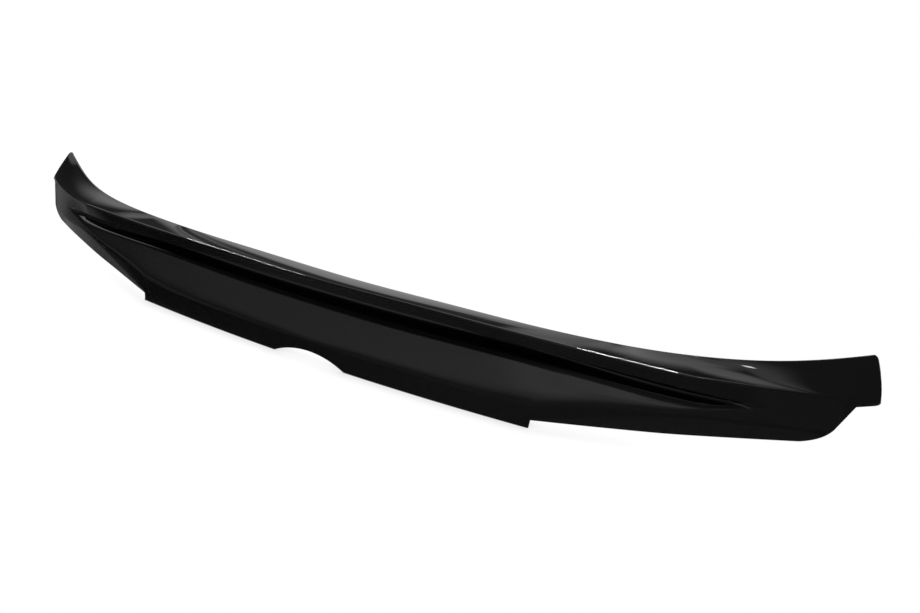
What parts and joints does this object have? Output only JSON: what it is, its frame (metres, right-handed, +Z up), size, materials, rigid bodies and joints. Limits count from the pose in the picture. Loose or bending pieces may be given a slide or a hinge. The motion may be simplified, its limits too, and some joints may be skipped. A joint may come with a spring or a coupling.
{
  "type": "car spoiler",
  "caption": "Gloss black ducktail spoiler for a boot lid: raised lip, undercut nose, swept ears and a rear tab with a badge notch, open at the back.",
  "frame": {"origin": "on the middle plane, under the bonding land along the front edge, halfway across its width", "axes": "+X across the car, +Y to the front of the car, +Z up, in the attitude in which the part sits on the car"},
  "size_m": [1.42, 0.1809, 0.1322],
  "materials": {
    "gloss_black": "polished black moulded plastic with a clear, mirror-like gloss"
  },
  "bodies": {
    "root": {"spoiler_shell": "gloss_black"}
  },
  "joints": []
}
